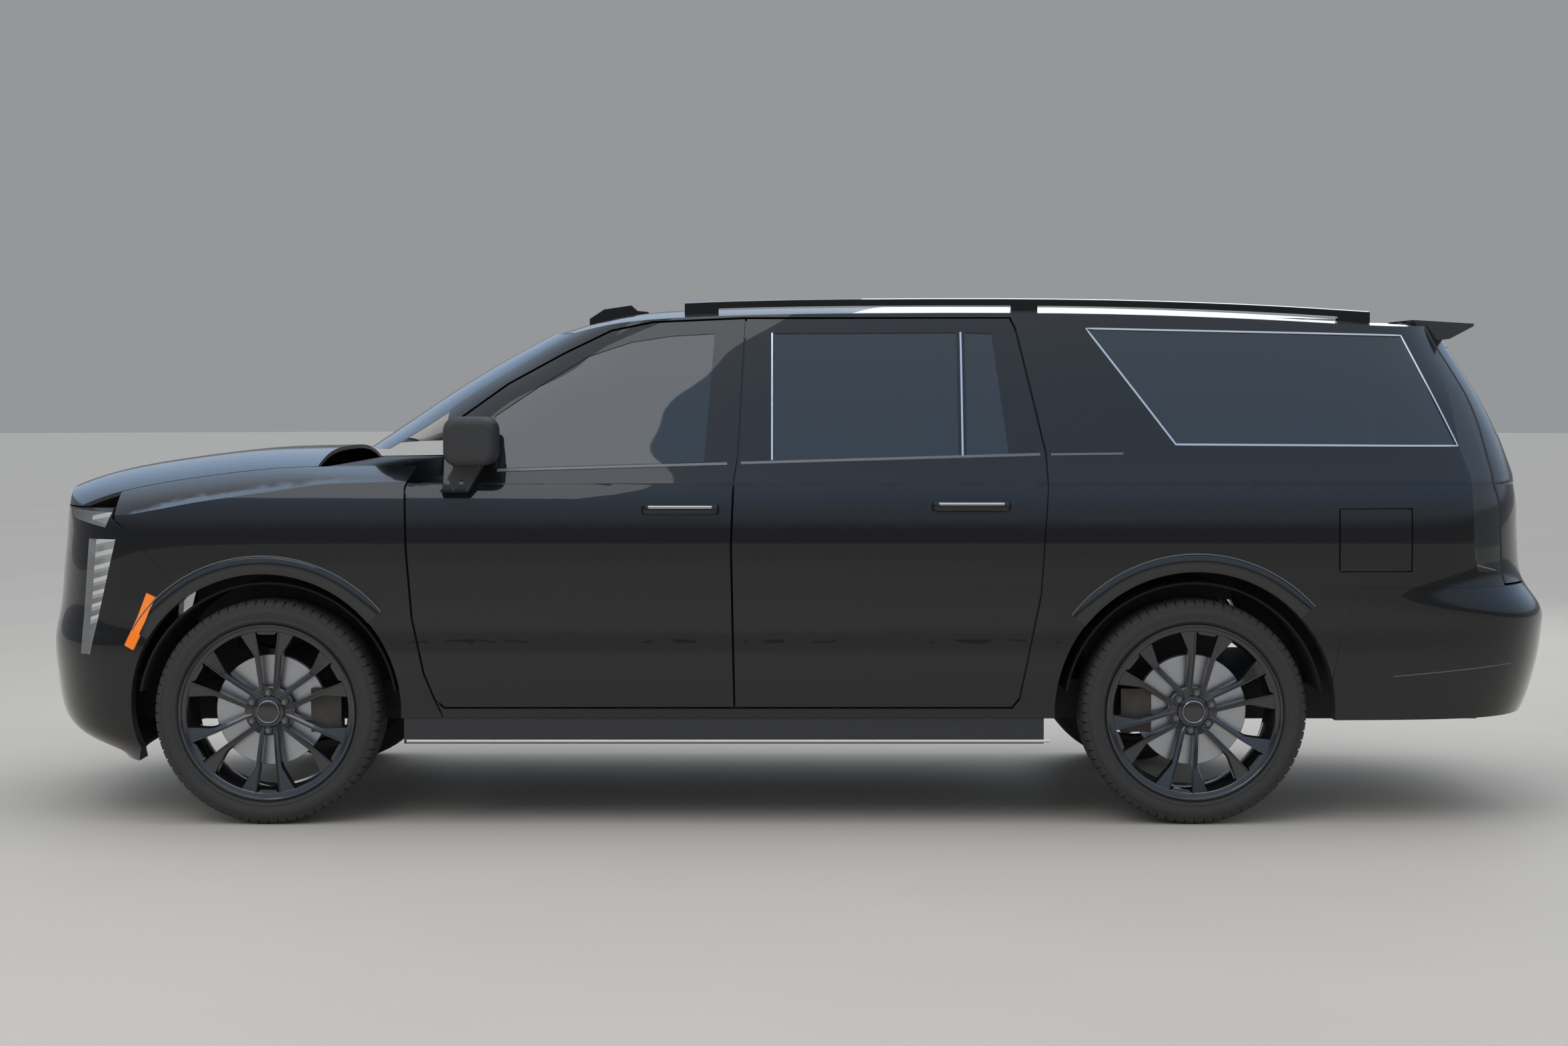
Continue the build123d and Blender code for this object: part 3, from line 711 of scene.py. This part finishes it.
BARREL = [(0.292, -0.094), (0.298, -0.119), (0.3005, -0.1215), (0.3125, -0.1245), (0.3155, -0.1335),
          (0.3185, -0.1358), (0.3235, -0.1352), (0.3255, -0.1325), (0.3245, -0.1298), (0.3182, -0.1270),
          (0.3180, -0.118), (0.306, -0.108), (0.306, 0.110), (0.318, 0.120), (0.318, 0.128), (0.326, 0.131),
          (0.325, 0.135), (0.308, 0.135), (0.298, 0.126), (0.292, 0.100)]
HUB = [(0.0005, -0.1045), (0.030, -0.1045), (0.0365, -0.1035), (0.038, -0.1015), (0.040, -0.104),
       (0.0425, -0.103), (0.044, -0.0965), (0.056, -0.0945), (0.060, -0.0868), (0.0885, -0.0895),
       (0.090, -0.086), (0.090, -0.058), (0.0305, -0.058), (0.0305, -0.0795), (0.0005, -0.0795)]
DISC = [(0.086, -0.026), (0.203, -0.026), (0.2045, -0.0245), (0.2045, -0.0145), (0.196, -0.014),
        (0.196, -0.006), (0.2045, -0.0055), (0.2045, 0.0035), (0.203, 0.005), (0.061, 0.005),
        (0.061, -0.0245)]
CAP_RING = [(0.0385, -0.103), (0.0385, -0.1062), (0.0395, -0.107), (0.0405, -0.1062), (0.0405, -0.103)]
# Degrees that the wheels of an axle stand turned
WHEEL_TURN = {"front": 0, "rear": 9}
# Radius, half width of the window beside it, width of the facet, and outward reach
SPOKE_STATIONS = [(0.060, 0.0135, 0.0075, 0.0905), (0.082, 0.0165, 0.009, 0.0960),
                  (0.140, 0.0215, 0.011, 0.1035), (0.200, 0.0268, 0.013, 0.1095),
                  (0.214, 0.0285, 0.018, 0.1110), (0.300, 0.0408, 0.0615, 0.1215),
                  (0.3035, 0.0413, 0.063, 0.1218)]


def spoke_pair():
    """Two spokes either side of an upright window, each with a ridge, a facet and a flank."""
    bm = bmesh.new()
    for mirror in (1, -1):
        rings = []
        for r, gap, face, out in SPOKE_STATIONS:
            shape = [(gap + 0.0015, out - 0.036), (gap, out - 0.004), (gap + 0.0012, out),
                     (gap + 0.0058, out + 0.0004), (gap + 0.0075, out - 0.0022),
                     (gap + 0.0075 + face * 0.97, out - 0.0056),
                     (gap + 0.0085 + face, out - 0.0085), (gap + 0.0125 + face, out - 0.036)]
            rings.append([bm.verts.new((mirror * u, -v, r)) for u, v in shape])
        for a, b in zip(rings, rings[1:]):
            for k in range(len(a)):
                q = (k + 1) % len(a)
                bm.faces.new((a[k], a[q], b[q], b[k]))
        bm.faces.new(rings[0])
        bm.faces.new(rings[-1][::-1])
    # outer bridge that closes the upright window
    low, high = 0.2865, 0.3045
    shape = [(-0.0405, low + 0.011), (-0.0285, low), (0.0285, low), (0.0405, low + 0.011), (0.0412, high),
             (-0.0412, high)]
    near = [bm.verts.new((u, -0.1195, r)) for u, r in shape]
    far = [bm.verts.new((u, -0.090, r)) for u, r in shape]
    bm.faces.new(near)
    bm.faces.new(far[::-1])
    for k in range(len(shape)):
        q = (k + 1) % len(shape)
        bm.faces.new((near[k], near[q], far[q], far[k]))
    bmesh.ops.recalc_face_normals(bm, faces=bm.faces)
    return bm


NUT_CIRCLE = 0.06985
# Radius, outward reach, and whether the ring is six-sided
NUT_RINGS = [(0.0135, 0.086, 0), (0.0135, 0.0985, 0), (0.0118, 0.1005, 0), (0.0118, 0.0995, 0),
             (0.0104, 0.0995, 1), (0.0104, 0.1085, 1), (0.0085, 0.1115, 0), (0.004, 0.1125, 0)]


def lug_nut():
    """Capped wheel nut in its seat."""
    bm = bmesh.new()
    count, flats = 24, 0.10
    rings = []
    for radius, out, six_sided in NUT_RINGS:
        ring = []
        for i in range(count):
            angle = 2 * math.pi * i / count
            reach = radius * (1 - six_sided * flats * (0.5 - 0.5 * math.cos(6 * angle)))
            ring.append(bm.verts.new((reach * math.sin(angle), -out, NUT_CIRCLE + reach * math.cos(angle))))
        rings.append(ring)
    for a, b in zip(rings, rings[1:]):
        for k in range(count):
            q = (k + 1) % count
            bm.faces.new((a[k], a[q], b[q], b[k]))
    bm.faces.new(rings[0])
    bm.faces.new(rings[-1][::-1])
    bmesh.ops.recalc_face_normals(bm, faces=bm.faces)
    return bm


TYRE = [(0.3185, -0.1205), (0.3255, -0.1262), (0.3320, -0.1310), (0.3345, -0.1352), (0.3390, -0.1378),
        (0.3440, -0.1378), (0.3460, -0.1368), (0.3620, -0.1418), (0.3700, -0.1425), (0.3800, -0.1412),
        (0.3860, -0.1382), (0.3864, -0.1392), (0.3900, -0.1370), (0.3960, -0.1300), (0.4020, -0.1225),
        (0.4062, -0.1120)]


def tread_pitch(step):
    """Blocks of one pitch of the tread: two shoulders that wrap over and ribs between the grooves."""
    bm = bmesh.new()

    def block(a0, a1, rows, skew=0.0):
        """Rows of (y, foot radius, top radius)."""
        grid = []
        for y, foot, top in rows:
            turn = skew * (y - rows[0][0]) / (rows[-1][0] - rows[0][0])
            across = ((a0, foot), (a0 + 0.001, top), ((a0 + a1) / 2, top), (a1 - 0.001, top), (a1, foot))
            grid.append([bm.verts.new((r * math.sin(a + turn), y, r * math.cos(a + turn)))
                         for a, r in across])
        for p, q in zip(grid, grid[1:]):
            for k in range(4):
                bm.faces.new((p[k], p[k + 1], q[k + 1], q[k]))
        bm.faces.new(grid[0])
        bm.faces.new(grid[-1][::-1])

    for sign in (-1, 1):
        block(0, step * 0.86, [(sign * y, f, t) for y, f, t in (
            (0.134, 0.3885, 0.3925), (0.130, 0.3935, 0.3990), (0.123, 0.399, 0.4070), (0.112, 0.404, 0.4122),
            (0.088, 0.404, 0.4136))], 0.004)
        rib = [(sign * 0.079, 0.404, 0.4138), (sign * 0.052, 0.404, 0.4139)]
        block(step * 0.08, step * 0.52, rib, sign * 0.012)
        block(step * 0.56, step * 1.02, rib, sign * 0.012)
        rib = [(sign * 0.044, 0.404, 0.4139), (sign * 0.016, 0.404, 0.4140)]
        block(step * 0.02, step * 0.93, rib, -sign * 0.016)
    block(0.0, step * 0.995, [(-0.009, 0.404, 0.4140), (0.009, 0.404, 0.4140)])
    bmesh.ops.recalc_face_normals(bm, faces=bm.faces)
    return bm


class VEHICLE_OT_tyres(bpy.types.Operator):
    """Road tyres with tread blocks and moulded sidewalls."""
    bl_idname = "vehicle.tyres"
    bl_label = "Tyres"

    def execute(self, context):
        count = context.scene.vehicle_sizes.tread_blocks
        profile = TYRE + [(r, -y) for r, y in reversed(TYRE)]
        for axle in ("front", "rear"):
            for side in SIDES:
                centre = tyre_centre(axle, side)
                tyre = repeated(tread_pitch(2 * math.pi / count), count, "tyre_rubber")
                add_data(tyre, turned_part(profile, 144))
                new_piece(f"tyre_{axle}_{side}_tread", placed(tyre, centre, side), "tyre_rubber",
                          f"wheel_{axle}_{side}", 35, [f"tyre_{axle}_{side}"])
        return {"FINISHED"}


def polyline_arc(cx, cz, radius, first, last, count=48):
    """Points of (x, z) on an arc, angles in degrees from straight up, towards the tail."""
    angles = np.radians(np.linspace(first, last, count))
    return [(cx + radius * math.sin(a), cz + radius * math.cos(a)) for a in angles]


QUARTER = [(1.385, 1.397), (1.068, 1.825), (2.253, 1.800), (2.438, 1.391)]
# Wheel arch's centre x and z, the lip's radius, and its first and last angle
ARCHES = {"front": (-1.960, 0.425, 0.5665, -59, 50), "rear": (1.454, 0.420, 0.5795, -52, 48)}
# Ends and height of the bright insert in a door handle
HANDLES = {"front": (-0.548, -0.317, 1.1705), "rear": (0.512, 0.748, 1.1825)}
MOULDING_WIDTH = 0.066
BOARD_FACE = 1.0


class VEHICLE_OT_trim(bpy.types.Operator):
    """Bright and satin mouldings on the flanks."""
    bl_idname = "vehicle.trim"
    bl_label = "Trim"

    def execute(self, context):
        for side in SIDES:
            def lay(name, body, material, strips):
                new_piece(f"{name}_{side}", closed_mesh(name, strips), material, body, 40)

            thin, flat = 0.0075, 0.0022
            lay("quarter_trim", "body", "bright_trim", [
                side_ribbon(CABIN, QUARTER, thin, flat, side, closed=True)])
            lay("belt_front", f"door_front_{side}_body", "satin_trim", [
                side_ribbon(CABIN, [(-1.105, 1.303), (-0.262, 1.327)], 0.011, 0.003, side)])
            lay("belt_rear", f"door_rear_{side}_body", "satin_trim", [
                side_ribbon(CABIN, [(-0.212, 1.329), (0.885, 1.3605)], 0.011, 0.003, side)])
            lay("belt_quarter", "body", "satin_trim", [
                side_ribbon(CABIN, [(0.925, 1.3605), (1.190, 1.3635)], 0.009, 0.003, side)])
            lay("rear_glass_trim", f"door_rear_{side}_body", "bright_trim", [
                side_ribbon(CABIN, [(-0.098, 1.340), (-0.098, 1.808)], thin, flat, side),
                side_ribbon(CABIN, [(0.6015, 1.357), (0.6015, 1.811)], thin, flat, side)])
            for axle, (x, z, lip, start, stop) in ARCHES.items():
                middle = polyline_arc(x, z, lip - MOULDING_WIDTH / 2, start, stop)
                lay(f"arch_moulding_{axle}", "body", "gloss_black", [
                    side_ribbon(LOWER, middle, MOULDING_WIDTH, 0.009, side)])
                lay(f"arch_lip_{axle}", "body", "satin_trim", [
                    side_ribbon(LOWER, polyline_arc(x, z, lip, start, stop), 0.006, 0.0115, side)])
            lay("board_strip", "body", "bright_trim", [board_strip(side)])
            lay("bumper_line", "body", "satin_trim", [
                side_ribbon(LOWER, [(2.180, 0.5485), (2.640, 0.5865)], 0.004, 0.002, side)])
            for axle, (x0, x1, z) in HANDLES.items():
                body = f"door_{axle}_{side}_body"
                lay(f"handle_{axle}", body, "paint_black", [handle_bar(x0, x1, z - 0.009, side)])
                lay(f"handle_insert_{axle}", body, "bright_trim", [handle_insert(x0, x1, z, side)])
            marker = [(-2.373, 0.846), (-2.408, 0.760), (-2.461, 0.652)]
            lay("side_marker", "body", "amber_lens",
                [side_ribbon(LOWER, marker, 0.040, 0.0105, side)])
        return {"FINISHED"}


def board_strip(side):
    """Bright strip along a running board."""
    sign = SIDES[side]
    line = along([(-1.440, sign * BOARD_FACE, 0.309), (0.922, sign * BOARD_FACE, 0.309)], 0.2)
    outs = np.tile((0, sign, 0), (len(line), 1)).astype(float)
    return tube(line, outs, bead(0.010, 0.0025))


def handle_bar(x0, x1, z, side):
    """Pull handle: a bar that bends back to the door at both ends."""
    sign = SIDES[side]
    knees = [(x0 - 0.021, 1.002), (x0 - 0.020, 1.022), (x0 - 0.013, 1.038), (x0 + 0.003, 1.0465),
             (x0 + 0.03, 1.0485)]
    path = knees + [(x0 + x1 - x, y) for x, y in reversed(knees)]
    line = along([(x, sign * y, z) for x, y in path], 0.02)
    run = np.gradient(line, axis=0)
    outs = np.column_stack([-run[:, 1], run[:, 0], np.zeros(len(run))]) * sign
    outs /= np.linalg.norm(outs, axis=1)[:, None]
    return tube(line, outs, bead(0.034, 0.007, 0.0075))


def handle_insert(x0, x1, z, side):
    """Bright insert along the upper edge of a door handle."""
    sign = SIDES[side]
    line = along([(x0, sign * 1.0555, z), (x1, sign * 1.0555, z)], 0.05)
    outs = np.tile((0, sign, 0), (len(line), 1)).astype(float)
    return tube(line, outs, bead(0.009, 0.0025))


class VEHICLE_OT_carried(bpy.types.Operator):
    """Finishes for the CAD pieces that keep their own shape."""
    bl_idname = "vehicle.carried"
    bl_label = "Carried-over pieces"

    def execute(self, context):
        dress("chassis_coat", "frame", "floor_pan", "fuel_tank")
        dress("moulded_plastic", "cowl", "dashboard", "running_boards")
        dress("gloss_black", "grille", "roof_fittings")
        dress("clear_lens", "headlamps")
        dress("smoked_lens", "tail_lamps")
        dress("leather", "seats")
        dress("cast_iron", "engine", "suspension", "knuckle_left", "knuckle_right")
        dress("liner_felt", "arch_liners")
        dress("turned_steel", "exhaust")
        return {"FINISHED"}


class VEHICLE_PT_panel(bpy.types.Panel):
    """Lists the steps in the 3D view's sidebar."""
    bl_label = "Vehicle"
    bl_idname = "VEHICLE_PT_panel"
    bl_space_type = "VIEW_3D"
    bl_region_type = "UI"
    bl_category = "Vehicle"

    def draw(self, context):
        for group in (context.scene.vehicle_look, context.scene.vehicle_sizes):
            for key in group.bl_rna.properties.keys():
                if key not in ("rna_type", "name"):
                    self.layout.prop(group, key)
        for step in STEPS:
            self.layout.operator(step.bl_idname)


STEPS = (VEHICLE_OT_stage, VEHICLE_OT_panels, VEHICLE_OT_glass, VEHICLE_OT_wheels, VEHICLE_OT_tyres,
         VEHICLE_OT_trim, VEHICLE_OT_carried)
CLASSES = (VEHICLE_Look, VEHICLE_Sizes, *STEPS, VEHICLE_PT_panel)


def register():
    for c in CLASSES:
        bpy.utils.register_class(c)
    bpy.types.Scene.vehicle_look = bpy.props.PointerProperty(type=VEHICLE_Look)
    bpy.types.Scene.vehicle_sizes = bpy.props.PointerProperty(type=VEHICLE_Sizes)


def unregister():
    del bpy.types.Scene.vehicle_look, bpy.types.Scene.vehicle_sizes
    for c in reversed(CLASSES):
        bpy.utils.unregister_class(c)


def main():
    register()
    make_materials(bpy.context.scene.vehicle_look)
    for step in STEPS:
        group, call = step.bl_idname.split(".")
        getattr(getattr(bpy.ops, group), call)()


if __name__ == "__main__":
    main()
